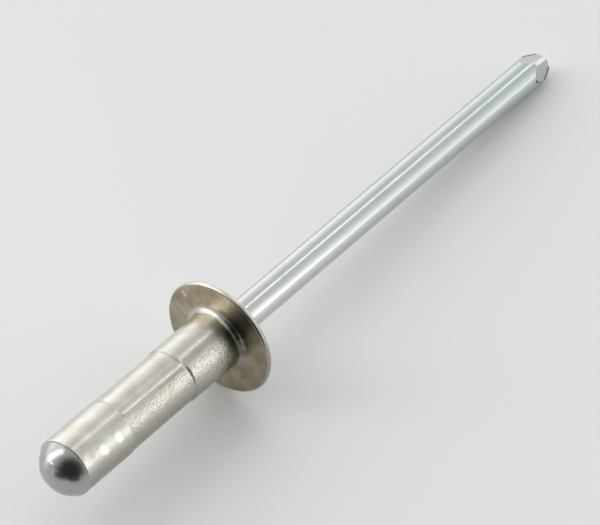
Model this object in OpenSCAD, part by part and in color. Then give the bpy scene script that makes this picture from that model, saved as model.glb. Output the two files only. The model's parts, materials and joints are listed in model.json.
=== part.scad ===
// Unset blind rivet: a flanged aluminium body on a domed steel mandrel, lying as it comes to rest.
// It rests on the rim of its flange and on the tail of its mandrel, with the nose lifted.
// The rivet is drawn along Z first: flange underside at zero, nose below, tail above. Then it is laid down.

/* [Body] */
// Outside diameter of the tubular shank
body_d = 3.2; // [2.8:0.1:4]
// Length of the shank from the flange's underside to its open end
body_len = 11.7; // [9:0.1:16]
// Radial gap between the mandrel and the bore outside the crimped band
bore_clearance = 0.06; // [0.03:0.01:0.1]
// Chamfer on the outer edge of the shank's open end
end_chamfer = 0.06; // [0.02:0.01:0.12]

/* [Flange] */
// Diameter of the flange
flange_d = 6.5; // [5.6:0.1:8]
// Thickness of the flange at its rim
rim_t = 0.36; // [0.36:0.02:0.6]
// Radius that rounds both edges of the rim
rim_edge_r = 0.14; // [0.04:0.01:0.14]
// Thickness of the flange at the top of its crown, beside the bore
flange_t = 0.85; // [0.75:0.05:1.3]
// Radius of the fillet between the shank and the flange's underside
fillet_r = 0.34; // [0.15:0.01:0.5]
// Radius that breaks the upper edge of the bore
mouth_r = 0.12; // [0.05:0.01:0.2]

/* [Crimped band] */
// Distance from the flange's underside to the band's near step
crimp_near = 3.54; // [2:0.02:4.5]
// Distance from the flange's underside to the band's far step
crimp_far = 8.22; // [6:0.02:8.8]
// Radial depth of the near step, which is the deeper one
crimp_depth_near = 0.062; // [0.02:0.002:0.09]
// Radial depth of the far step
crimp_depth_far = 0.044; // [0.02:0.002:0.09]
// How far the upper half-die stood nearer to the nose at the near step
die_shift = 0.18; // [0:0.02:0.4]
// Width of the raised strip left between the two half-dies
parting_w = 0.38; // [0.1:0.02:0.5]
// How far the parting strip lies below the shank's own surface
parting_drop = 0.015; // [0.008:0.001:0.02]
// Angle of one parting strip round the axis, from the top towards the front
parting_angle = 24; // [0:1:90]
// Radial gap that is left between the pressed bore and the mandrel
grip_clearance = 0.01; // [0.005:0.001:0.02]
// Length over which the bore narrows at each end of the band
grip_lead = 0.35; // [0.2:0.05:0.6]

/* [Mandrel] */
// Diameter of the mandrel's stem
mandrel_d = 1.75; // [1.5:0.05:1.9]
// How much the stem's radius swells towards the head, where the wire was upset
head_swell = 0.006; // [0.002:0.001:0.01]
// Length of stem that stands out above the flange's crown
stem_len = 26.9; // [22:0.1:34]
// Diameter of the domed head
head_d = 3.14; // [2.6:0.02:3.4]
// Height of the dome above the shank's open end
head_h = 1.1; // [0.8:0.05:1.5]
// How far the head was upset off the stem's axis
head_shift = 0.06; // [0.02:0.01:0.1]
// Angle round the axis towards which the head sits off, from the top towards the front
head_shift_angle = 119; // [0:1:180]
// Distance from the head's seat to the break neck
neck_pos = 2; // [1:0.1:3]
// Width of the break neck's groove
neck_w = 0.5; // [0.3:0.05:0.8]
// Diameter left in the break neck
neck_d = 1.25; // [1.1:0.05:1.4]

/* [Pinch-cut point] */
// Slope of the four facets to the axis
facet_slope = 16; // [12:0.2:25]
// Half-width between two opposite facets at the flat tip, as a share of the stem's radius
tip_share = 0.44; // [0.3:0.01:0.6]
// Angle between the two pairs of blades that pinched the point off
blade_angle = 82; // [74:1:106]
// Width of the land on the upper and lower ridges
ridge_w = 0.24; // [0.08:0.02:0.3]
// Width of the land on the two side ridges
side_ridge_w = 0.1; // [0.06:0.02:0.2]
// Angle of the upper ridge round the axis, from the top towards the front
ridge_angle = 24; // [0:1:90]

/* [Hidden] */
$fn = 128;

// One overrun for every cut
overrun = 1;

// Radii of the round parts
body_r = body_d / 2;
flange_r = flange_d / 2;
mandrel_r = mandrel_d / 2;
head_r = head_d / 2;
neck_r = neck_d / 2;
swell_r = mandrel_r + head_swell;
bore_r = swell_r + bore_clearance;
grip_r = swell_r + grip_clearance;

// The rim has two rounded edges, and the crown is one arc from the upper one to the mouth of the bore
rim_edge_x = flange_r - rim_edge_r;
rim_edge_z = rim_t - rim_edge_r;
shoulder_angle = 40;
shoulder = [rim_edge_x + rim_edge_r * sin(shoulder_angle), rim_edge_z + rim_edge_r * cos(shoulder_angle)];
crown_centre = (shoulder * shoulder - pow(bore_r, 2) - pow(flange_t, 2)) / (2 * (shoulder.y - flange_t));
crown_r = norm([bore_r, flange_t - crown_centre]);

// The dome is one arc over the head's seat
dome_r = (pow(head_r, 2) + pow(head_h, 2)) / (2 * head_h);
dome_centre = dome_r - head_h - body_len;

// The point: two pairs of facets that close in from the stem to a flat tip
tip_half_w = tip_share * mandrel_r;
tip_z = flange_t + stem_len;
point_z = tip_z - (mandrel_r - tip_half_w) / tan(facet_slope);
blade_half_w = mandrel_r + overrun;
blade_low_z = point_z - overrun / tan(facet_slope);
blade_high_z = tip_z + tip_half_w;

// Half-width of the space between two opposite facets at a height along the axis
function facet_half_w(z) = mandrel_r - (z - point_z) * tan(facet_slope);

// Half-width of the space between two opposite lands, on ridges where the facets turn by an angle
function land_half_w(z, angle, width) = facet_half_w(z) / cos(angle / 2) - width / 2 * tan(angle / 2);

// Rest: the rim's lowest point and the stem's lowest point before the facets lie on one level
down_from_facet = min(abs(ridge_angle - blade_angle / 2), abs(180 - ridge_angle - blade_angle / 2));
tail_rest_z = point_z + mandrel_r * (1 - cos(down_from_facet)) / tan(facet_slope);
rest_drop = rim_edge_x - mandrel_r;
rest_span = tail_rest_z - rim_edge_z;
rest_tilt = acos(-rim_edge_r / norm([rest_drop, rest_span])) - atan2(rest_span, rest_drop);
rest_lift = rim_edge_x * cos(rest_tilt) + rim_edge_z * sin(rest_tilt) + rim_edge_r;
head_up = head_shift * cos(head_shift_angle);
tip_up = land_half_w(tip_z, blade_angle, ridge_w) * cos(ridge_angle) + ridge_w / 2 * sin(ridge_angle);
rest_low_x = dome_centre * cos(rest_tilt) + head_up * sin(rest_tilt) - dome_r;
rest_high_x = tip_z * cos(rest_tilt) + tip_up * sin(rest_tilt);

// Lays the upright rivet on its rim and tail, nose to the left, middle of its length over the origin
module at_rest() {
    translate([-(rest_low_x + rest_high_x) / 2, 0, rest_lift])
        rotate([0, 90 + rest_tilt, 0])
            children();
}

// Turns a feature from the top of the lying rivet towards its front
module turned_from_top(angle) {
    rotate([0, 0, 180 + angle])
        children();
}

// Right half of the body's section, before the bore is cut
module body_section() {
    // shank with a chamfered end
    polygon([
        [0, -body_len],
        [body_r - end_chamfer, -body_len],
        [body_r, end_chamfer - body_len],
        [body_r, rim_edge_z],
        [0, rim_edge_z]
    ]);
    // fillet under the flange
    difference() {
        translate([0, -fillet_r])
            square([body_r + fillet_r, fillet_r + rim_edge_z]);
        translate([body_r + fillet_r, -fillet_r])
            circle(fillet_r);
    }
    // flange: a disc with a rounded rim, under the crown's arc
    intersection() {
        union() {
            square([rim_edge_x, rim_t]);
            translate([0, rim_edge_r])
                square([flange_r, rim_t - 2 * rim_edge_r]);
            translate([rim_edge_x, rim_edge_r])
                circle(rim_edge_r);
            translate([rim_edge_x, rim_edge_z])
                circle(rim_edge_r);
            translate([0, rim_edge_z])
                square([(rim_edge_x + shoulder.x) / 2, flange_t]);
        }
        translate([0, crown_centre])
            circle(crown_r);
    }
}

// Right half of the bore's section: wide at both ends, narrowed where the band is pressed
module bore_section() {
    polygon([
        [0, -body_len - overrun],
        [bore_r, -body_len - overrun],
        [bore_r, -crimp_far - grip_lead],
        [grip_r, -crimp_far],
        [grip_r, -crimp_near],
        [bore_r, grip_lead - crimp_near],
        [bore_r, flange_t + overrun],
        [0, flange_t + overrun]
    ]);
    // rounded mouth at the top of the crown
    difference() {
        translate([0, flange_t - mouth_r])
            square([bore_r + mouth_r, mouth_r + overrun]);
        translate([bore_r + mouth_r, flange_t - mouth_r])
            circle(mouth_r);
    }
}

// Ring of metal pressed away between two distances under the flange, with its depth at each
module pressed_ring(near, far, depth_near, depth_far) {
    rotate_extrude()
        polygon([
            [body_r - depth_far, -far],
            [body_r + overrun, -far],
            [body_r + overrun, -near],
            [body_r - depth_near, -near]
        ]);
}

// What one half-die presses away: half a ring with a tapered floor, stopped short of the parting strip
module half_die(near) {
    intersection() {
        pressed_ring(near, crimp_far, crimp_depth_near, crimp_depth_far);
        translate([-body_d, parting_w / 2, -body_len])
            cube([2 * body_d, body_d, body_len]);
    }
}

// What is pressed away over both parting strips, between the edges of the half-dies
module parting_gap() {
    intersection() {
        pressed_ring(crimp_near + die_shift, crimp_far, parting_drop, parting_drop);
        translate([-body_d, -parting_w, -body_len])
            cube([2 * body_d, 2 * parting_w, body_len]);
    }
}

// Aluminium shell: one piece with its flange
module rivet_body() {
    color("#b4b0a4")
        at_rest()
            difference() {
                // swept from the side, so that the rim doesn't lie on the seam of the sweep
                turned_from_top(90)
                    rotate_extrude()
                        difference() {
                            body_section();
                            bore_section();
                        }
                turned_from_top(parting_angle) {
                    half_die(crimp_near);
                    mirror([0, 1, 0])
                        half_die(crimp_near + die_shift);
                    parting_gap();
                }
            }
}

// Right half of the stem's section, which starts inside the head and is still square at its tip
module stem_section() {
    difference() {
        polygon([
            [0, -body_len - head_h / 2],
            [swell_r, -body_len - head_h / 2],
            [swell_r, -body_len],
            [mandrel_r, flange_t],
            [mandrel_r, tip_z],
            [0, tip_z]
        ]);
        polygon([
            [neck_r, neck_pos - body_len],
            [swell_r, neck_pos - body_len - neck_w / 2],
            [swell_r + overrun, neck_pos - body_len - neck_w / 2],
            [swell_r + overrun, neck_pos - body_len + neck_w / 2],
            [swell_r, neck_pos - body_len + neck_w / 2]
        ]);
    }
}

// Right half of the head's section: a dome over a flat seat
module head_section() {
    intersection() {
        translate([0, dome_centre])
            circle(dome_r);
        translate([0, -body_len - dome_r])
            square(dome_r);
    }
}

// Space between two opposite blades, as wide as the stock at first and closing in beyond the tip
module between_blades(low_half_w, high_half_w) {
    rotate([90, 0, 0])
        linear_extrude(2 * blade_half_w, center = true)
            polygon([
                [-low_half_w, -body_len - head_h],
                [low_half_w, -body_len - head_h],
                [low_half_w, blade_low_z],
                [high_half_w, blade_high_z],
                [-high_half_w, blade_high_z],
                [-low_half_w, blade_low_z]
            ]);
}

// Space between the two facets of one pair of blades
module facet_pair() {
    between_blades(facet_half_w(blade_low_z), facet_half_w(blade_high_z));
}

// Space between the two lands of opposite ridges, where the facets turn by an angle
module land_pair(angle, width) {
    between_blades(land_half_w(blade_low_z, angle, width), land_half_w(blade_high_z, angle, width));
}

// Steel mandrel: domed head, stem, break neck and four-sided point in one piece
module mandrel() {
    color("#c6ccc9")
        at_rest() {
            intersection() {
                rotate_extrude()
                    stem_section();
                turned_from_top(ridge_angle + blade_angle / 2)
                    facet_pair();
                turned_from_top(ridge_angle - blade_angle / 2)
                    facet_pair();
                turned_from_top(ridge_angle)
                    land_pair(blade_angle, ridge_w);
                turned_from_top(ridge_angle + 90)
                    land_pair(180 - blade_angle, side_ridge_w);
            }
            // the head sits a little off the stem's axis
            turned_from_top(head_shift_angle)
                translate([head_shift, 0, 0])
                    rotate_extrude()
                        head_section();
        }
}

rivet_body();
mandrel();
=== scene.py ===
# %% [markdown]
# # An unset blind rivet on a pale table
# A blind rivet is two pieces of metal: an aluminium shell with a flange, and the steel mandrel that a
# setting tool pulls through it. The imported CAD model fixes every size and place. Blender adds what the
# solids leave out: the soft edges of pressed metal, a few dents, the worn finish and the studio light.

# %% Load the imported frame
import json
import math

import bmesh
import bpy
from mathutils import Matrix, Vector


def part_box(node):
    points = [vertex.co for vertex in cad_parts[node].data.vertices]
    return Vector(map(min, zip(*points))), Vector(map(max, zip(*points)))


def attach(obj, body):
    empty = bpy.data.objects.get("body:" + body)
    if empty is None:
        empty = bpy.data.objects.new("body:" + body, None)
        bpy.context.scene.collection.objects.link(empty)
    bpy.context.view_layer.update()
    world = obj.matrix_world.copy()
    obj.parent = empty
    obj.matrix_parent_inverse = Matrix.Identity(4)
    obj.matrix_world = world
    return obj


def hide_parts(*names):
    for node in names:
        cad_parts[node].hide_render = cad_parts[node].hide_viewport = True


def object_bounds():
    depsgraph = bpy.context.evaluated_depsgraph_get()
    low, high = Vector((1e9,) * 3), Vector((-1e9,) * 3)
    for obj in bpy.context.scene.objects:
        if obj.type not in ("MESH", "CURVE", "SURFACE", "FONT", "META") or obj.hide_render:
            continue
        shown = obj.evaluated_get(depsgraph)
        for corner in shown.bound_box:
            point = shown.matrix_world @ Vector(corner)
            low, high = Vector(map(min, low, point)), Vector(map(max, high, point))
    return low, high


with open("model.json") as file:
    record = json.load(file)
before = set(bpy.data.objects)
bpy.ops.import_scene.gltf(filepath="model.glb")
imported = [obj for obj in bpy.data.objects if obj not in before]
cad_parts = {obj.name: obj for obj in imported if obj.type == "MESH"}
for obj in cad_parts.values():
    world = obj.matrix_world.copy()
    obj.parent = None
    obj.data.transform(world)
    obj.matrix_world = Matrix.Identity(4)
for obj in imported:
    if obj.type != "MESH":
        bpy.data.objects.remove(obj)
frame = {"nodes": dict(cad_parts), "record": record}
cad_low, cad_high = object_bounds()
print("CAD nodes:", sorted(frame["nodes"]))

# %% [markdown]
# The rivet lies on the rim of its flange and on the tail of its stem, so its axis dips by some five degrees.
# The record's mounts say where that axis runs. Each piece is drawn along X in millimetres, with the flange's
# underside at zero and the tail at plus, and one matrix then lays it where its CAD solid lies. An angle round
# the axis is counted from the top towards the front, which is minus Y.

# %% Find the rivet's own axis
MM = 0.001
mounts = {mount["name"]: mount for mount in frame["record"]["mounts"]}
along = Vector(mounts["stem"]["axis"]).normalized()
stem_middle = Vector(mounts["stem"]["pos_m"])
seat_point = Vector(mounts["flange_seat"]["pos_m"])
flange_middle = stem_middle + along * (seat_point - stem_middle).dot(along)
sideways = Vector((0, 1, 0))
lying = Matrix((along, sideways, along.cross(sideways))).transposed().to_4x4()
lying.translation = flange_middle


def outward(angle):
    """Direction away from the axis at an angle from the top towards the front."""
    return Vector((0, -math.sin(angle), math.cos(angle)))


print("axis dips by %.2f degrees" % math.degrees(math.asin(-along.z)))

# %% [markdown]
# Materials are built from nodes. One small helper adds a node with its settings and links, and one function
# turns an sRGB hex colour into the linear values that the shader wants. Patterns are placed in the rivet's
# own axis frame in millimetres: a Mapping node undoes the lay of the piece, so that a pattern can follow the
# axis and each scale can be read as one over a real size.

# %% Node helpers
METRE = 1000


def linear(code):
    """Linear RGBA of an sRGB hex colour."""
    shares = [int(code[i:i + 2], 16) / 255 for i in (1, 3, 5)]
    return [s / 12.92 if s <= 0.04045 else ((s + 0.055) / 1.055) ** 2.4 for s in shares] + [1]


def add(tree, kind, inputs=None, **settings):
    """Adds a node, sets its settings, and links or sets its inputs."""
    made = tree.nodes.new(kind)
    for name, value in settings.items():
        setattr(made, name, value)
    for socket, value in (inputs or {}).items():
        if isinstance(value, bpy.types.NodeSocket):
            tree.links.new(value, made.inputs[socket])
        else:
            made.inputs[socket].default_value = value
    return made


def new_material(name):
    """An empty material, its tree and the place of a point in the axis frame in millimetres."""
    material = bpy.data.materials.new(name)
    material.use_nodes = True
    tree = material.node_tree
    tree.nodes.clear()
    upright = lying.to_3x3().inverted()
    place = add(tree, "ShaderNodeMapping", {
        "Vector": add(tree, "ShaderNodeTexCoord").outputs["Object"],
        "Location": upright @ flange_middle * -METRE,
        "Rotation": upright.to_euler(),
        "Scale": (METRE, METRE, METRE),
    })
    return material, tree, place.outputs["Vector"]


# %% [markdown]
# The shell is cold-headed from soft aluminium wire and tumbled with its fellows, which leaves a warm satin
# skin: grey, finely speckled where the tumbling peened it, drawn lengthwise near the nose, and stained olive
# brown by old lubricant under the flange. A metal takes all its colour from its base colour, so the stain is
# a change of base colour and the polish is a change of roughness. The masks come first: each says where on
# the shell one finish lies.

# %% Sizes of the shell that its finish follows, in millimetres
shell_low, shell_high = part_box("rivet_body")
body_r = mounts["shank"]["dims"]["r_mm"]
flange_r = (shell_high.y - shell_low.y) / 2 / MM
fillet_r = 0.34
end_chamfer = 0.06
body_len = mounts["shank"]["dims"]["length_mm"] + fillet_r + end_chamfer
crimp_near = 3.54
crimp_far = 8.22
die_shift = 0.18
parting_angle = math.radians(24)
print("shank %.2f mm thick and %.2f mm long, flange %.2f mm" % (2 * body_r, body_len, 2 * flange_r))

# %% Tumbled aluminium: where a point lies
aluminium, tree, place = new_material("tumbled aluminium")
apart = add(tree, "ShaderNodeSeparateXYZ", {"Vector": place})
at_x = apart.outputs["X"]
across = add(tree, "ShaderNodeCombineXYZ", {"Y": apart.outputs["Y"], "Z": apart.outputs["Z"]})
from_axis = add(tree, "ShaderNodeVectorMath", {
    0: across.outputs["Vector"]}, operation="LENGTH").outputs["Value"]
below_strip = add(tree, "ShaderNodeVectorMath", {
    0: place, 1: outward(parting_angle + math.pi / 2)}, operation="DOT_PRODUCT").outputs["Value"]
print("nodes that measure a place", len(tree.nodes))

# %% Tumbled aluminium: where it is peened
peened_from = 0.1
peened_full = 0.6
upper_peening = 0.12
nose_peening = 0.2
flange_smooth = -0.8
flange_peened = -1.4
nose_smooth = -crimp_far - 0.2
nose_peened = 0.1 - crimp_far
lower_half = add(tree, "ShaderNodeMapRange", {
    "Value": below_strip, "From Min": peened_from, "From Max": peened_full,
    "To Min": upper_peening, "To Max": 1})
off_flange = add(tree, "ShaderNodeMapRange", {
    "Value": at_x, "From Min": flange_smooth, "From Max": flange_peened})
off_nose = add(tree, "ShaderNodeMapRange", {
    "Value": at_x, "From Min": nose_smooth, "From Max": nose_peened,
    "To Min": nose_peening, "To Max": off_flange.outputs["Result"]})
peening = add(tree, "ShaderNodeMath", {
    0: lower_half.outputs["Result"], 1: off_nose.outputs["Result"]}, operation="MULTIPLY").outputs["Value"]
print("nodes with the peening", len(tree.nodes))

# %% Tumbled aluminium: where lubricant stains it, on the flat ring under the flange
rim_clean = flange_r - 0.02
rim_stained = flange_r - 0.1
fillet_clean = body_r + 0.05
fillet_stained = body_r + fillet_r + 0.1
over_clean = 0.09
over_stained = 0.03
inside_rim = add(tree, "ShaderNodeMapRange", {
    "Value": from_axis, "From Min": rim_clean, "From Max": rim_stained})
beyond_fillet = add(tree, "ShaderNodeMapRange", {
    "Value": from_axis, "From Min": fillet_clean, "From Max": fillet_stained,
    "To Max": inside_rim.outputs["Result"]})
underneath = add(tree, "ShaderNodeMapRange", {
    "Value": at_x, "From Min": over_clean, "From Max": over_stained,
    "To Max": beyond_fillet.outputs["Result"]})
print("nodes with the stain", len(tree.nodes))

# %% [markdown]
# Shade is painted into the colour where the shell's shapes and the floor would shade it: in the two pressed
# rings, along the crease beside the parting strip and along the strip towards the flange, and on the side
# that faces the floor. The first four are lines on the shell, so one loop turns the distance from a line into
# a mask.
# Painting them by hand could follow the photograph more closely, but masks that are tied to the sizes move
# with the rings.

# %% Tumbled aluminium: the lines where shade is painted
strip_soft = 0.05
step_soft = 0.1
strip_end = 0.3
lower_from = 0.2
upper_ring_shade = 0.4
lower_ring_shade = 0.6
band_shade_and_highlight = 0.5
strip_shade = 0.4
far_ring_shade = 0.25
lip_middle = 0.25
near_step = add(tree, "ShaderNodeMapRange", {
    "Value": below_strip, "From Min": strip_soft, "From Max": -strip_soft,
    "To Min": crimp_near, "To Max": crimp_near + die_shift})
near_ring = add(tree, "ShaderNodeMath", {0: at_x, 1: near_step.outputs["Result"]}, operation="ADD")
far_ring = add(tree, "ShaderNodeMath", {0: at_x, 1: crimp_far}, operation="ADD")
crease = add(tree, "ShaderNodeMath", {0: below_strip, 1: lip_middle}, operation="SUBTRACT")
in_near = add(tree, "ShaderNodeMapRange", {
    "Value": below_strip, "From Min": 0, "From Max": lower_from,
    "To Min": upper_ring_shade, "To Max": lower_ring_shade})
on_band = add(tree, "ShaderNodeMapRange", {
    "Value": at_x, "From Min": -crimp_near, "From Max": -crimp_near - step_soft, "To Max": band_shade_and_highlight})
past_band = add(tree, "ShaderNodeMapRange", {
    "Value": at_x, "From Min": -crimp_far - strip_soft, "From Max": strip_soft - crimp_far,
    "To Max": on_band.outputs["Result"]})
off_band = add(tree, "ShaderNodeMapRange", {
    "Value": at_x, "From Min": -crimp_near, "From Max": strip_end - crimp_near, "To Max": strip_shade})
print("nodes with the lines", len(tree.nodes))

# %% Tumbled aluminium: how dark the painted shade is
ring_reach = 0.1
crease_reach = 0.14
strip_reach = 0.28
floor_side_from = 0.7
floor_side_full = 1.5
floor_side_shade = 0.6
shaded_lines = [
    (near_ring.outputs["Value"], ring_reach, in_near.outputs["Result"]),
    (far_ring.outputs["Value"], ring_reach, far_ring_shade),
    (crease.outputs["Value"], crease_reach, past_band.outputs["Result"]),
    (below_strip, strip_reach, off_band.outputs["Result"]),
]
# Painted shade: the side that faces the floor is darker.
painted_shade = add(tree, "ShaderNodeMapRange", {
    "Value": below_strip, "From Min": floor_side_from, "From Max": floor_side_full,
    "To Max": floor_side_shade}).outputs["Result"]
# Painted shade along the pressed rings, the crease and the strip's line.
for off_line, reach, most in shaded_lines:
    distance = add(tree, "ShaderNodeMath", {0: off_line}, operation="ABSOLUTE")
    line_shade = add(tree, "ShaderNodeMapRange", {
        "Value": distance.outputs["Value"], "From Min": reach, "From Max": reach / 3, "To Max": most})
    painted_shade = add(tree, "ShaderNodeMath", {
        0: painted_shade, 1: line_shade.outputs["Result"]}, operation="MAXIMUM").outputs["Value"]
print("nodes with the grime", len(tree.nodes))

# %% [markdown]
# Four noises give the skin its grain. Each scale is one over a size in millimetres. The peened grain and the
# pits of real tumbled aluminium are finer than this and would vanish at this distance, so both are drawn as
# coarse as they need to be to show.

# %% Tumbled aluminium: grain
grain_size = 0.12
pit_size = 0.06
mottle_size = 0.8
streak_size = 0.12
streak_stretch = 0.1
patch_from = 0.35
patch_full = 0.65
grain = add(tree, "ShaderNodeTexNoise", {"Vector": place, "Scale": 1 / grain_size, "Detail": 2})
pits = add(tree, "ShaderNodeTexNoise", {"Vector": place, "Scale": 1 / pit_size, "Detail": 0})
mottle = add(tree, "ShaderNodeTexNoise", {"Vector": place, "Scale": 1 / mottle_size, "Detail": 5})
drawn = add(tree, "ShaderNodeVectorMath", {0: place, 1: (streak_stretch, 1, 1)}, operation="MULTIPLY")
streak = add(tree, "ShaderNodeTexNoise", {
    "Vector": drawn.outputs["Vector"], "Scale": 1 / streak_size, "Detail": 3})
patch = add(tree, "ShaderNodeMapRange", {
    "Value": mottle.outputs["Fac"], "From Min": patch_from, "From Max": patch_full}).outputs["Result"]
print("nodes with the grain", len(tree.nodes))

# %% [markdown]
# The colour is built in layers: clean metal, painted shade, pits, the stain under the flange and dark blots
# of painted shade in the fillet at the front. A blot is a soft ball round a spot, and so are the
# bared dents and nicks, so they share one helper.

# %% A mask round some spots


def near_spots(tree, place, spots, reach, full):
    """A mask that is 1 within a full distance of any of some spots and fades out at a reach."""
    mask = 0
    for spot in spots:
        gap = add(tree, "ShaderNodeVectorMath", {0: place, 1: spot}, operation="DISTANCE")
        close = add(tree, "ShaderNodeMapRange", {
            "Value": gap.outputs["Value"], "From Min": reach, "From Max": full},
            interpolation_type="SMOOTHSTEP")
        mask = add(tree, "ShaderNodeMath", {
            0: mask, 1: close.outputs["Result"]}, operation="MAXIMUM").outputs["Value"]
    return mask


# Painted shade: dark blots in the fillet corner at the front.
shade_blot_x = -0.32
shade_blot_lift = 0.12
shade_blot_angles = (40, 54, 68, 82)
shade_blots = [Vector((shade_blot_x, 0, 0)) + outward(math.radians(a)) * (body_r + shade_blot_lift) for a in shade_blot_angles]
shade_blot_r = 0.6
print("blots in the fillet", len(shade_blots))

# %% Tumbled aluminium: colour of metal, painted shade and stain
pit_from = 0.5
pit_full = 0.7
bright = add(tree, "ShaderNodeMix", {
    "Factor": patch, "A": linear("#d3d2ca"), "B": linear("#c6c3b8")}, data_type="RGBA")
# Painted shade darkens the metal in the rings, the crease and on the floor side.
shaded_metal = add(tree, "ShaderNodeMix", {
    "Factor": painted_shade, "A": bright.outputs["Result"], "B": linear("#8d8a82")}, data_type="RGBA")
pitted = add(tree, "ShaderNodeMapRange", {
    "Value": pits.outputs["Fac"], "From Min": pit_from, "From Max": pit_full, "To Max": peening})
pocked = add(tree, "ShaderNodeMix", {
    "Factor": pitted.outputs["Result"], "A": shaded_metal.outputs["Result"], "B": linear("#b2afa6")},
    data_type="RGBA")
stain = add(tree, "ShaderNodeMix", {
    "Factor": patch, "A": linear("#b3aa96"), "B": linear("#978d76")}, data_type="RGBA")
stained = add(tree, "ShaderNodeMix", {
    "Factor": underneath.outputs["Result"], "A": pocked.outputs["Result"], "B": stain.outputs["Result"]},
    data_type="RGBA")
# Painted shade: the dark blots in the fillet.
shade_blotted = add(tree, "ShaderNodeMix", {
    "Factor": near_spots(tree, place, shade_blots, shade_blot_r, shade_blot_r / 4),
    "A": stained.outputs["Result"], "B": linear("#6c6c62")}, data_type="RGBA")
print("nodes with the colours", len(tree.nodes))

# %% Tumbled aluminium: metal bared by dents and nicks, and a painted highlight along the crest
dent_places = [(1.5, 52), (2.6, 52), (0.5, 46)]
dents = [Vector((x - body_len, 0, 0)) + outward(math.radians(a)) * body_r for x, a in dent_places]
dent_r = 0.32
nick_places = [(2.88, -53), (2.7, -54)]
nicks = [outward(math.radians(a)) * r for r, a in nick_places]
nick_r = 0.07
crest_w = 0.12
burnished = near_spots(tree, place, dents[:2], dent_r, 0)
# Painted highlight: a bright line along the crest of the raised strip on the band.
from_crest = add(tree, "ShaderNodeMath", {0: below_strip}, operation="ABSOLUTE")
crest_highlight_share = add(tree, "ShaderNodeMath", {0: past_band.outputs["Result"], 1: patch}, operation="MULTIPLY")
crest_highlight = add(tree, "ShaderNodeMapRange", {
    "Value": from_crest.outputs["Value"], "From Min": crest_w, "From Max": 0,
    "To Max": crest_highlight_share.outputs["Value"]})
knocked = add(tree, "ShaderNodeMath", {
    0: burnished, 1: near_spots(tree, place, nicks, nick_r, nick_r / 2)}, operation="MAXIMUM")
bared_and_highlight = add(tree, "ShaderNodeMath", {
    0: knocked.outputs["Value"], 1: crest_highlight.outputs["Result"]}, operation="MAXIMUM")
# Dents and nicks bare bright metal; the bright line along the crest is a painted highlight.
colour = add(tree, "ShaderNodeMix", {
    "Factor": bared_and_highlight.outputs["Value"], "A": shade_blotted.outputs["Result"], "B": linear("#f0efeb")},
    data_type="RGBA")
print("dents %d, nicks %d" % (len(dents), len(nicks)))

# %% Tumbled aluminium: polish
streak_from = 0.3
streak_full = 0.7
worn_low = 0.24
worn_high = 0.32
peened_rough = 0.19
flange_rough = 0.27
dent_rough = 0.16
worn = add(tree, "ShaderNodeMapRange", {
    "Value": streak.outputs["Fac"], "From Min": streak_from, "From Max": streak_full,
    "To Min": worn_low, "To Max": worn_high})
dappled = add(tree, "ShaderNodeMix", {"Factor": peening, "A": worn.outputs["Result"], "B": peened_rough})
headed = add(tree, "ShaderNodeMix", {
    "Factor": off_flange.outputs["Result"], "A": flange_rough, "B": dappled.outputs["Result"]})
polished = add(tree, "ShaderNodeMix", {"Factor": burnished, "A": headed.outputs["Result"], "B": dent_rough})
print("nodes with the polish", len(tree.nodes))

# %% Tumbled aluminium: relief and shader
peened_relief = 0.036
streak_relief = 0.006
smooth_half = add(tree, "ShaderNodeMath", {0: 1, 1: peening}, operation="SUBTRACT")
peened = add(tree, "ShaderNodeBump", {
    "Height": grain.outputs["Fac"], "Strength": peening, "Distance": peened_relief * MM})
scored = add(tree, "ShaderNodeBump", {
    "Height": streak.outputs["Fac"], "Strength": smooth_half.outputs["Value"],
    "Distance": streak_relief * MM, "Normal": peened.outputs["Normal"]})
metal = add(tree, "ShaderNodeBsdfPrincipled", {
    "Base Color": colour.outputs["Result"], "Metallic": 1, "Roughness": polished.outputs["Result"],
    "Normal": scored.outputs["Normal"]})
add(tree, "ShaderNodeOutputMaterial", {"Surface": metal.outputs["BSDF"]})
print("nodes in", aluminium.name, len(tree.nodes))

# %% [markdown]
# Both pieces are turned parts, so both start as a section beside the axis. The section is a chain of corner
# points. An edge can be bowed into an arc by cutting it up and pushing the new points onto a circle, and a
# corner can be rounded by a vertex bevel. A spin then sweeps the section once round the axis. Cylinders and
# boolean cuts could give the same forms, but a spun skin has clean rings that can be pressed and dented.

# %% Section and lathe helpers
ROUND_STEPS = 9
MERGE_DIST = 0.0005


def section(corners, closed):
    """A chain of edges through (along, radius) corners."""
    bm = bmesh.new()
    verts = [bm.verts.new((x, 0, radius)) for x, radius in corners]
    ends = verts[1:] + verts[:1] if closed else verts[1:]
    for first, second in zip(verts, ends):
        bm.edges.new((first, second))
    return bm


def edge_near(bm, x, radius):
    """The edge of a section whose middle is nearest to a place."""
    spot = Vector((x, 0, radius))
    return min(bm.edges, key=lambda edge: ((edge.verts[0].co + edge.verts[1].co) / 2 - spot).length)


def cut_up(bm, edge, cuts):
    """Cuts an edge into equal lengths and returns the new vertices."""
    made = bmesh.ops.subdivide_edges(bm, edges=[edge], cuts=cuts)
    return [item for item in made["geom_inner"] if isinstance(item, bmesh.types.BMVert)]


def bow(bm, edge, cuts, centre):
    """Bows an edge into an arc round a centre on the axis."""
    radius = (edge.verts[0].co - centre).length
    for vert in cut_up(bm, edge, cuts):
        vert.co = centre + (vert.co - centre).normalized() * radius


def round_corner(bm, x, radius, rounding):
    """Rounds the corner of a section that is nearest to a place."""
    spot = Vector((x, 0, radius))
    corner = min(bm.verts, key=lambda vert: (vert.co - spot).length)
    bmesh.ops.bevel(bm, geom=[corner], offset=rounding, offset_type="OFFSET", segments=ROUND_STEPS,
                    profile=0.5, affect="VERTICES", material=-1)


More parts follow.
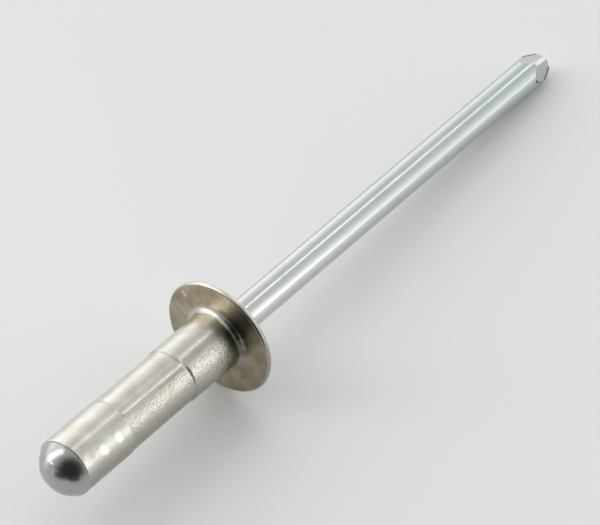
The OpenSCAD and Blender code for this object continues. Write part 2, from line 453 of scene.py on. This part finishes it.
def turn(bm, steps):
    """Sweeps a section once round the axis into a closed skin with its faces outwards."""
    bmesh.ops.spin(bm, geom=bm.verts[:] + bm.edges[:], cent=(0, 0, 0), axis=(1, 0, 0),
                   dvec=(0, 0, 0), angle=math.tau, steps=steps, use_merge=True)
    bmesh.ops.remove_doubles(bm, verts=bm.verts, dist=MERGE_DIST)
    bmesh.ops.recalc_face_normals(bm, faces=bm.faces)


# %% [markdown]
# The shell's section runs from the mouth of the bore over the low crown, round the rim, along the flange's
# underside, through the fillet and down the shank to its open end, and back through the bore. The bore clears
# the mandrel and is narrower where the crimped band grips it.

# %% Draw the shell's section
CROWN_CUTS = 11
flange_t = 0.85
rim_x = 0.308
rim_round = 0.14
mouth_r = 0.12
end_round = 0.05
grip_lead = 0.35
head_end_swell = 0.006
bore_clearance = 0.06
grip_clearance = 0.01
mandrel_r = mounts["stem"]["dims"]["r_mm"]
swell_r = mandrel_r + head_end_swell
bore_r = swell_r + bore_clearance
grip_r = swell_r + grip_clearance
crown_lift = (rim_x ** 2 + flange_r ** 2 - bore_r ** 2 - flange_t ** 2) / (2 * (rim_x - flange_t))
shell = section([
    (flange_t, bore_r),
    (rim_x, flange_r),
    (0, flange_r),
    (0, body_r),
    (-body_len, body_r),
    (-body_len, bore_r),
    (-crimp_far - grip_lead, bore_r),
    (-crimp_far, grip_r),
    (-crimp_near, grip_r),
    (grip_lead - crimp_near, bore_r),
], closed=True)
crown_edge = edge_near(shell, (flange_t + rim_x) / 2, (bore_r + flange_r) / 2)
bow(shell, crown_edge, CROWN_CUTS, Vector((crown_lift, 0, 0)))
print("section has", len(shell.verts), "points")

# %% Round its corners and turn it, with rings close enough to press and dent
SHELL_STEPS = 256
RING_SPACING = 0.04
FLANGE_CUTS = 7
round_corner(shell, flange_t, bore_r, mouth_r)
round_corner(shell, rim_x, flange_r, rim_round)
round_corner(shell, 0, flange_r, rim_round)
round_corner(shell, 0, body_r, fillet_r)
round_corner(shell, -body_len, body_r, end_round)
cut_up(shell, edge_near(shell, -body_len / 2, body_r), round(body_len / RING_SPACING))
cut_up(shell, edge_near(shell, 0, (body_r + flange_r) / 2), FLANGE_CUTS)
turn(shell, SHELL_STEPS)
print("shell has", len(shell.faces), "faces")

# %% [markdown]
# Two half-dies press a band of the shank onto the mandrel. Each leaves a shallow half ring whose floor slopes
# up towards the nose, the upper one sits a little nearer to the nose, and a raised strip stays between them.
# Cutting rings out would leave hard edges, but pressed metal flows, so the skin is pushed in by a depth
# that rises softly over each step. The dents near the nose are pushed in the same way, and the flange is
# drawn a hair towards the front, where the heading die left it.

# %% How deep the half-dies press
depth_near = 0.062
depth_far = 0.044
lower_soft = 0.15
upper_soft = 0.3
ramp_middle = -0.1
ramp_w = 0.53
lip_w = 0.12
lip_lift = 0.03


def rise(value, step, width):
    """Goes softly from 0 to 1 as a value passes a step."""
    share = min(max((value - step) / width + 0.5, 0), 1)
    return share * share * (3 - 2 * share)


def pressed(x, angle):
    """How deep the half-dies press the shank at a place."""
    beside = body_r * math.sin(angle - parting_angle)
    lip = rise(beside, ramp_middle, ramp_w) * (1 - rise(beside, lip_middle, lip_w))
    near, soft = (crimp_near, lower_soft) if beside > lip_middle else (crimp_near + die_shift, upper_soft)
    inside = rise(-x, near, soft) * (1 - rise(-x, crimp_far, soft))
    share = (-x - crimp_near) / (crimp_far - crimp_near)
    floor_depth = depth_near + (depth_far - depth_near) * share
    return inside * (floor_depth - (floor_depth + lip_lift) * lip)


band_middle = -(crimp_near + crimp_far) / 2
print("the band is %.3f mm deep underneath" % pressed(band_middle, math.pi))

# %% Press the band and the dents
flange_shift = outward(math.radians(95)) * 0.05
dent_depth = 0.016
pushed = 0
for vert in shell.verts:
    level = Vector((0, vert.co.y, vert.co.z))
    if level.length > body_r + MERGE_DIST:
        vert.co += flange_shift * (level.length - body_r) / (flange_r - body_r)
    if abs(level.length - body_r) > MERGE_DIST or vert.co.x > -fillet_r:
        continue
    depth = pressed(vert.co.x, math.atan2(-level.y, level.z))
    for dent in dents:
        share = (vert.co - dent).length / dent_r
        depth += dent_depth * max(1 - share * share, 0)
    vert.co -= level.normalized() * depth
    pushed += depth > 0
print("pressed", pushed, "points")

# %% [markdown]
# A finished skin is scaled from millimetres, laid on the rivet's axis and shaded smooth, with a crease only
# where two faces meet at more than a given angle. It rides on the part's one body and is shown instead of the
# CAD solid, which stays behind for collision.

# %% Make the shell a piece
SHELL_CREASE = math.radians(32)


def piece_from(bm, name, cad_node, materials, sharp_angle):
    """Lays a finished skin where its CAD solid lies and makes it the piece that is shown for it."""
    bmesh.ops.transform(bm, matrix=lying @ Matrix.Scale(MM, 4), verts=bm.verts)
    mesh = bpy.data.meshes.new(name)
    bm.to_mesh(mesh)
    bm.free()
    mesh.shade_smooth()
    mesh.set_sharp_from_angle(angle=sharp_angle)
    for material in materials:
        mesh.materials.append(material)
    piece = bpy.data.objects.new(name, mesh)
    bpy.context.scene.collection.objects.link(piece)
    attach(piece, "root")
    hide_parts(cad_node)
    print(name, "has", len(mesh.polygons), "faces")


piece_from(shell, "aluminium_shell", "rivet_body", [aluminium], SHELL_CREASE)

# %% [markdown]
# The mandrel is headed and pointed from drawn steel wire, then plated with bright zinc: cool, smooth, with
# faint lines along the wire. The plate is thinner and darker on the head, and a little greener towards the
# tail, where its colour is also darkened as painted shade for the weaker light at that end. The lines are a
# noise stretched along the axis, which needs no picture and can't run out at the ends.
# Two dark burrs hang where the last blade let go.

# %% Bright zinc plate: patterns on drawn wire
stem_len = 26.9
tip_x = flange_t + stem_len
wire_line = 0.05
wire_stretch = 0.03
scuff_size = 0.09
cloud_size = 1.6
zinc, tree, place = new_material("bright zinc plate")
at_x = add(tree, "ShaderNodeSeparateXYZ", {"Vector": place}).outputs["X"]
drawn = add(tree, "ShaderNodeVectorMath", {0: place, 1: (wire_stretch, 1, 1)}, operation="MULTIPLY")
lines = add(tree, "ShaderNodeTexNoise", {
    "Vector": drawn.outputs["Vector"], "Scale": 1 / wire_line, "Detail": 2})
scuffs = add(tree, "ShaderNodeTexNoise", {"Vector": place, "Scale": 1 / scuff_size, "Detail": 1})
cloud = add(tree, "ShaderNodeTexNoise", {"Vector": place, "Scale": 1 / cloud_size, "Detail": 4})
towards_tail = add(tree, "ShaderNodeMapRange", {
    "Value": at_x, "From Min": flange_t, "From Max": tip_x}).outputs["Result"]
on_stem = add(tree, "ShaderNodeMapRange", {
    "Value": at_x, "From Min": -body_len, "From Max": 0}).outputs["Result"]
print("stem %.2f mm thick, tip at %.2f mm" % (2 * mandrel_r, tip_x))

# %% Bright zinc plate: colour
burr_places = [(26.08, 78), (26.37, 95)]
burrs = [Vector((x, 0, 0)) + outward(math.radians(a)) * mandrel_r for x, a in burr_places]
burr_r = 0.17
stem = add(tree, "ShaderNodeMix", {
    "Factor": cloud.outputs["Fac"], "A": linear("#d6d8d4"), "B": linear("#cacdc9")}, data_type="RGBA")
# Greener towards the tail, and darker there as painted shade.
tinted_and_shaded = add(tree, "ShaderNodeMix", {
    "Factor": towards_tail, "A": stem.outputs["Result"], "B": linear("#c0c9c4")}, data_type="RGBA")
plated = add(tree, "ShaderNodeMix", {
    "Factor": on_stem, "A": linear("#adb0ac"), "B": tinted_and_shaded.outputs["Result"]}, data_type="RGBA")
colour = add(tree, "ShaderNodeMix", {
    "Factor": near_spots(tree, place, burrs, burr_r, burr_r / 2),
    "A": plated.outputs["Result"], "B": linear("#5a5852")}, data_type="RGBA")
print("nodes with the colours", len(tree.nodes))

# %% Bright zinc plate: polish, relief and shader
head_rough = 0.22
stem_rough = 0.14
line_rough = 0.2
tail_line_rough = 0.32
tail_scuffs = 0.25
tail_share = 0.6
scuff_relief = 0.004
line_relief = 0.0008
dulled = add(tree, "ShaderNodeMapRange", {
    "Value": towards_tail, "To Min": line_rough, "To Max": tail_line_rough})
smooth = add(tree, "ShaderNodeMapRange", {"Value": on_stem, "To Min": head_rough, "To Max": stem_rough})
rough = add(tree, "ShaderNodeMapRange", {
    "Value": lines.outputs["Fac"], "From Min": streak_from, "From Max": streak_full,
    "To Min": smooth.outputs["Result"], "To Max": dulled.outputs["Result"]})
scuffing = add(tree, "ShaderNodeMapRange", {
    "Value": towards_tail, "From Min": 0, "From Max": tail_share, "To Min": 1, "To Max": tail_scuffs})
scuffed = add(tree, "ShaderNodeBump", {
    "Height": scuffs.outputs["Fac"], "Strength": scuffing.outputs["Result"], "Distance": scuff_relief * MM})
bump = add(tree, "ShaderNodeBump", {
    "Height": lines.outputs["Fac"], "Strength": 1, "Distance": line_relief * MM,
    "Normal": scuffed.outputs["Normal"]})
metal = add(tree, "ShaderNodeBsdfPrincipled", {
    "Base Color": colour.outputs["Result"], "Metallic": 1, "Roughness": rough.outputs["Result"],
    "Normal": bump.outputs["Normal"]})
add(tree, "ShaderNodeOutputMaterial", {"Surface": metal.outputs["BSDF"]})
print("nodes in", zinc.name, len(tree.nodes))

# %% [markdown]
# The point is pinched off by two pairs of blades. Their facets shear through the plating, so they are duller
# and greyer than the rest. A dark line along the two side ridges is a painted reflection of the shaded floor
# that their narrow lands face. The line follows the ridge, so its mask is worked out from the slope of the
# facets.

# %% Sheared steel: where the painted reflection lies along the side ridges
facet_slope = math.radians(16)
blade_angle = math.radians(82)
ridge_angle = math.radians(24)
side_ridge_w = 0.1
tip_half_w = 0.44 * mandrel_r
ridge_reflection_from = 0.15
ridge_reflection_full = 0.07
side_corner = (math.pi - blade_angle) / 2
side_land_x = tip_half_w / math.cos(side_corner) - side_ridge_w / 2 * math.tan(side_corner)
sheared, tree, place = new_material("sheared steel")
at_x = add(tree, "ShaderNodeSeparateXYZ", {"Vector": place}).outputs["X"]
sideways_off = add(tree, "ShaderNodeVectorMath", {
    0: place, 1: outward(ridge_angle + math.pi / 2)}, operation="DOT_PRODUCT")
off_ridge = add(tree, "ShaderNodeMath", {0: sideways_off.outputs["Value"]}, operation="ABSOLUTE")
before_tip = add(tree, "ShaderNodeMath", {0: tip_x, 1: at_x}, operation="SUBTRACT")
land_at = add(tree, "ShaderNodeMath", {
    0: before_tip.outputs["Value"], 1: math.tan(facet_slope) / math.cos(side_corner), 2: side_land_x},
    operation="MULTIPLY_ADD")
from_edge = add(tree, "ShaderNodeMath", {
    0: land_at.outputs["Value"], 1: off_ridge.outputs["Value"]}, operation="SUBTRACT")
ridge_reflection = add(tree, "ShaderNodeMapRange", {
    "Value": from_edge.outputs["Value"], "From Min": ridge_reflection_from, "From Max": ridge_reflection_full})
print("side ridges end %.2f mm off the axis" % side_land_x)

# %% Sheared steel: colour, relief and shader
tear_size = 0.1
tear_relief = 0.012
sheared_rough = 0.4
tear = add(tree, "ShaderNodeTexNoise", {"Vector": place, "Scale": 1 / tear_size, "Detail": 4})
grey = add(tree, "ShaderNodeMix", {
    "Factor": tear.outputs["Fac"], "A": linear("#cccec9"), "B": linear("#a6a8a3")}, data_type="RGBA")
# Painted reflection: a dark line along the two side ridges.
colour = add(tree, "ShaderNodeMix", {
    "Factor": ridge_reflection.outputs["Result"], "A": grey.outputs["Result"], "B": linear("#5a5852")}, data_type="RGBA")
bump = add(tree, "ShaderNodeBump", {
    "Height": tear.outputs["Fac"], "Strength": 1, "Distance": tear_relief * MM})
metal = add(tree, "ShaderNodeBsdfPrincipled", {
    "Base Color": colour.outputs["Result"], "Metallic": 1, "Roughness": sheared_rough,
    "Normal": bump.outputs["Normal"]})
add(tree, "ShaderNodeOutputMaterial", {"Surface": metal.outputs["BSDF"]})
print("nodes in", sheared.name, len(tree.nodes))

# %% [markdown]
# The mandrel's section runs from the top of the dome along the stem. The dome is one arc over its seat on
# the shell's open end, and the break neck is a groove inside the shell. Spinning it closes both ends on the
# axis. The head was upset a little off the stem's axis, so its points are shifted after the spin.

# %% Turn the mandrel
PIN_STEPS = 128
DOME_CUTS = 23
head_r = 1.57
head_h = 1.1
head_round = 0.04
head_shift = outward(math.radians(119)) * 0.06
neck_pos = 2
neck_w = 0.5
neck_r = 0.625
neck_x = neck_pos - body_len
dome_r = (head_r ** 2 + head_h ** 2) / (2 * head_h)
pin = section([
    (-body_len - head_h, 0),
    (-body_len, head_r),
    (-body_len, swell_r),
    (neck_x - neck_w / 2, swell_r),
    (neck_x, neck_r),
    (neck_x + neck_w / 2, swell_r),
    (flange_t, mandrel_r),
    (tip_x, mandrel_r),
    (tip_x, 0),
], closed=False)
dome_edge = edge_near(pin, -body_len - head_h / 2, head_r / 2)
bow(pin, dome_edge, DOME_CUTS, Vector((dome_r - head_h - body_len, 0, 0)))
round_corner(pin, -body_len, head_r, head_round)
turn(pin, PIN_STEPS)
for vert in pin.verts:
    if vert.co.x < MERGE_DIST - body_len and vert.co.yz.length > swell_r + MERGE_DIST:
        vert.co += head_shift
print("mandrel has", len(pin.faces), "faces before its point")

# %% [markdown]
# The point is cut with planes, as the blades cut it: two pairs of facets, a small chamfer where each meets
# the flat tip, and narrow lands on the ridges between them. Each cut is closed by a face. The facets and the
# lands on the two side ridges take the sheared material, while the other two lands are what is left of the
# plated wire.

# %% How one blade cuts
ahead = Vector((1, 0, 0))
tip_middle = ahead * tip_x
PLATED = 0
SHEARED = 1


def cut_off(bm, angle, half_w, slope, material_index):
    """Cuts away what lies beyond a plane that passes the tip at a half-width, and closes the cut."""
    away = outward(angle)
    cut = bmesh.ops.bisect_plane(
        bm, geom=bm.verts[:] + bm.edges[:] + bm.faces[:], dist=MERGE_DIST / 10, clear_outer=True,
        plane_co=tip_middle + away * half_w, plane_no=away * math.cos(slope) + ahead * math.sin(slope))
    rim = [item for item in cut["geom_cut"] if isinstance(item, bmesh.types.BMEdge)]
    for face in bmesh.ops.edgeloop_fill(bm, edges=rim)["faces"]:
        face.material_index = material_index


print("facets close in to %.2f mm at the tip" % (2 * tip_half_w))

# %% Cut the point
tip_chamfer = 0.04
ridge_w = 0.24
chamfer_slope = (facet_slope + math.pi / 2) / 2
ridges = [
    (0, blade_angle, ridge_w, PLATED),
    (math.pi / 2, math.pi - blade_angle, side_ridge_w, SHEARED),
]
for half_turn in (0, math.pi):
    for blade in (-blade_angle / 2, blade_angle / 2):
        cut_off(pin, ridge_angle + blade + half_turn, tip_half_w, facet_slope, SHEARED)
        cut_off(pin, ridge_angle + blade + half_turn, tip_half_w - tip_chamfer, chamfer_slope, SHEARED)
    for turn_on, corner, width, finish in ridges:
        land_slope = math.atan(math.tan(facet_slope) / math.cos(corner / 2))
        land_half_w = tip_half_w / math.cos(corner / 2) - width / 2 * math.tan(corner / 2)
        cut_off(pin, ridge_angle + turn_on + half_turn, land_half_w, land_slope, finish)
bmesh.ops.recalc_face_normals(pin, faces=pin.faces)
print("mandrel has", len(pin.faces), "faces")

# %% Make the mandrel a piece
PIN_CREASE = math.radians(12)
piece_from(pin, "steel_mandrel", "mandrel", [zinc, sheared], PIN_CREASE)

# %% [markdown]
# The camera stands where the photograph was taken from: high to the left of the nose, with a long lens that
# keeps the stem nearly as thick at its far end. It is placed by a turn, a height and a distance from a
# target, which is easier to read than a matrix.

# %% Camera
view_turn = math.radians(-51.4)
view_height = math.radians(49.1)
view_distance = 211.8 * MM
view_target = Vector((-2.582, -1.427, 5.662)) * MM
lens_length = 253.1
near_clip = 10 * MM
camera_data = bpy.data.cameras.new("camera")
camera_data.lens = lens_length
camera_data.clip_start = near_clip
camera = bpy.data.objects.new("camera", camera_data)
bpy.context.scene.collection.objects.link(camera)
bpy.context.scene.camera = camera


def direction(turn_angle, height):
    """Direction from the object to a place round it, at an angle above the floor."""
    level = math.cos(height)
    return Vector((math.sin(turn_angle) * level, -math.cos(turn_angle) * level, math.sin(height)))


back = direction(view_turn, view_height)
camera.location = view_target + back * view_distance
camera.rotation_euler = (-back).to_track_quat("-Z", "Y").to_euler()
bpy.context.scene.view_settings.view_transform = "Standard"
print("camera at", [round(value / MM, 1) for value in camera.location], "mm")

# %% [markdown]
# The floor is a wide sheet of coated card just under the rivet. Its satin skin throws the light of the room
# up into the lower side of the metal at a low angle, which dead matt paper wouldn't, and it is still too dull
# to mirror the rivet sharply. It is drawn as a disc, so that no corner of it can show from any side.

# %% Pale floor
floor_r = 4
floor_sides = 64
card_rough = 0.3
floor_bm = bmesh.new()
bmesh.ops.create_circle(floor_bm, cap_ends=True, segments=floor_sides, radius=floor_r)
bmesh.ops.translate(floor_bm, verts=floor_bm.verts, vec=(0, 0, cad_low.z))
floor_mesh = bpy.data.meshes.new("floor")
floor_bm.to_mesh(floor_mesh)
floor_bm.free()
floor = bpy.data.objects.new("floor", floor_mesh)
bpy.context.scene.collection.objects.link(floor)
coated, tree, place = new_material("coated card")
satin = add(tree, "ShaderNodeBsdfPrincipled", {"Base Color": linear("#fcfcfc"), "Roughness": card_rough})
add(tree, "ShaderNodeOutputMaterial", {"Surface": satin.outputs["BSDF"]})
floor_mesh.materials.append(coated)
print("floor at %.3f mm" % (cad_low.z / MM))

# %% [markdown]
# A photographer lays a black card before a shiny part to give it a dark side. This one is a wedge of felt on
# the floor before the nose, outside the picture. Only the metal's mirror images show it, from above, and it
# fades out towards the nose so that its tip draws no hard edge on the dome.

# %% Black card
CARD_LIFT = 0.05 * MM
card_turn = math.radians(-66)
card_spread = math.radians(36)
card_length = 0.7
nose = flange_middle - along * body_len * MM
card_tip = Vector((nose.x, nose.y, cad_low.z + CARD_LIFT))
card_bm = bmesh.new()
corners = [card_tip]
for side in (-card_spread, card_spread):
    corners.append(card_tip + direction(card_turn + side, 0) * card_length)
bmesh.ops.contextual_create(card_bm, geom=[card_bm.verts.new(corner) for corner in corners])
bmesh.ops.recalc_face_normals(card_bm, faces=card_bm.faces)
card_mesh = bpy.data.meshes.new("black_card")
card_bm.to_mesh(card_mesh)
card_bm.free()
card = bpy.data.objects.new("black_card", card_mesh)
bpy.context.scene.collection.objects.link(card)
card.visible_camera = False
card.visible_diffuse = False
card.visible_shadow = False
print("black card faces", card_mesh.polygons[0].normal)

# %% Its finish
pale_within = 9
black_beyond = 24
felt_rough = 0.9
felt, tree, place = new_material("black felt")
# With the two distances the other way round, the mask grows away from the spot.
inked = near_spots(tree, place, [lying.inverted() @ card_tip * METRE], pale_within, black_beyond)
ink = add(tree, "ShaderNodeMix", {
    "Factor": inked, "A": linear("#f8f8f8"), "B": linear("#2a2a2a")}, data_type="RGBA")
cloth = add(tree, "ShaderNodeBsdfPrincipled", {"Base Color": ink.outputs["Result"], "Roughness": felt_rough})
clear = add(tree, "ShaderNodeBsdfTransparent")
one_sided = add(tree, "ShaderNodeMixShader", {
    0: add(tree, "ShaderNodeNewGeometry").outputs["Backfacing"],
    1: cloth.outputs["BSDF"], 2: clear.outputs["BSDF"]})
add(tree, "ShaderNodeOutputMaterial", {"Surface": one_sided.outputs["Shader"]})
card_mesh.materials.append(felt)
print("nodes in", felt.name, len(tree.nodes))

# %% [markdown]
# Polished metal shows the room more than itself, so the light is laid out by what each band of the metal
# mirrors. A softbox high at the back left gives the dome its white patch and throws the soft shadows to the
# right, and a thin strip overhead draws the fine line along the stem. Two small pale cards close to the nose
# only fill mirror images on the dome, so they light nothing that is matt. Angles are in degrees, lengths in
# metres.

# %% Lamps
middle = flange_middle + along * body_len * MM
lamps = [
    dict(name="key_softbox", lit=middle, turn=217, height=31, away=0.6, size=(0.2, 0.68), radiance=2.0),
    dict(name="top_strip", lit=middle, turn=92, height=47.5, away=0.6, size=(0.08, 0.3), radiance=1.1),
    dict(name="side_card", lit=nose, turn=165, height=36, away=0.065, size=(0.07, 0.056), radiance=0.5),
    dict(name="front_card", lit=nose, turn=36, height=12, away=0.06, size=(0.034, 0.026), radiance=0.38),
]
for plan in lamps:
    width, height = plan["size"]
    lamp_data = bpy.data.lights.new(plan["name"], "AREA")
    lamp_data.shape = "RECTANGLE"
    lamp_data.size = width
    lamp_data.size_y = height
    lamp_data.energy = plan["radiance"] * math.pi * width * height
    lamp = bpy.data.objects.new(plan["name"], lamp_data)
    bpy.context.scene.collection.objects.link(lamp)
    towards = direction(math.radians(plan["turn"]), math.radians(plan["height"]))
    lamp.location = plan["lit"] + towards * plan["away"]
    lamp.rotation_euler = towards.to_track_quat("Z", "Y").to_euler()
    lamp.visible_camera = False
    lamp.visible_diffuse = plan["lit"] is middle
    print(plan["name"], "%.2f W" % lamp_data.energy)

# %% [markdown]
# The room glows towards the horizon, as a light tent does, which gives the bright bands at both sides of the
# metal. Its end behind the camera is dark, and that is what turns the middle of the domed head nearly black.
# A picture of a real room could do the same, but two smooth ramps are easier to aim. The camera itself sees
# a plain pale wall instead.

# %% Room: how bright it is in each direction
upper_light = 0.73
horizon_glow = 0.95
glow_top = 0.66
dark_light = 0.04
dark_middle = direction(math.radians(-58), math.radians(22))
dark_inner = math.radians(25)
dark_outer = math.radians(60)
glow_start = math.radians(62)
glow_full = math.radians(95)
room = bpy.data.worlds.new("room")
bpy.context.scene.world = room
room.use_nodes = True
tree = room.node_tree
tree.nodes.clear()
gaze = add(tree, "ShaderNodeTexCoord").outputs["Generated"]
upwards = add(tree, "ShaderNodeSeparateXYZ", {"Vector": gaze}).outputs["Z"]
facing = add(tree, "ShaderNodeVectorMath", {0: gaze, 1: dark_middle}, operation="DOT_PRODUCT")
shade = add(tree, "ShaderNodeMapRange", {
    "Value": facing.outputs["Value"], "From Min": math.cos(dark_outer), "From Max": math.cos(dark_inner),
    "To Min": upper_light, "To Max": dark_light}, interpolation_type="SMOOTHSTEP")
sides = add(tree, "ShaderNodeMapRange", {
    "Value": facing.outputs["Value"], "From Min": math.cos(glow_start), "From Max": math.cos(glow_full),
    "To Max": horizon_glow}, interpolation_type="SMOOTHSTEP")
glow = add(tree, "ShaderNodeMapRange", {
    "Value": upwards, "From Min": 0, "From Max": glow_top, "To Min": sides.outputs["Result"], "To Max": 0})
lit = add(tree, "ShaderNodeMath", {0: shade.outputs["Result"], 1: glow.outputs["Result"]}, operation="ADD")
print("nodes that light the room", len(tree.nodes))

# %% Room: the wall that the camera sees
wall_light = 0.75
wall = add(tree, "ShaderNodeMix", {
    "Factor": add(tree, "ShaderNodeLightPath").outputs["Is Camera Ray"],
    "A": lit.outputs["Value"], "B": wall_light})
light = add(tree, "ShaderNodeBackground", {"Color": linear("#ffffff"), "Strength": wall.outputs["Result"]})
add(tree, "ShaderNodeOutputWorld", {"Surface": light.outputs["Background"]})
print("nodes in the room", len(tree.nodes))

# %% [markdown]
# The script ends by printing the length of the imported model.

print("length in CAD %.2f mm" % ((cad_high.x - cad_low.x) / MM))
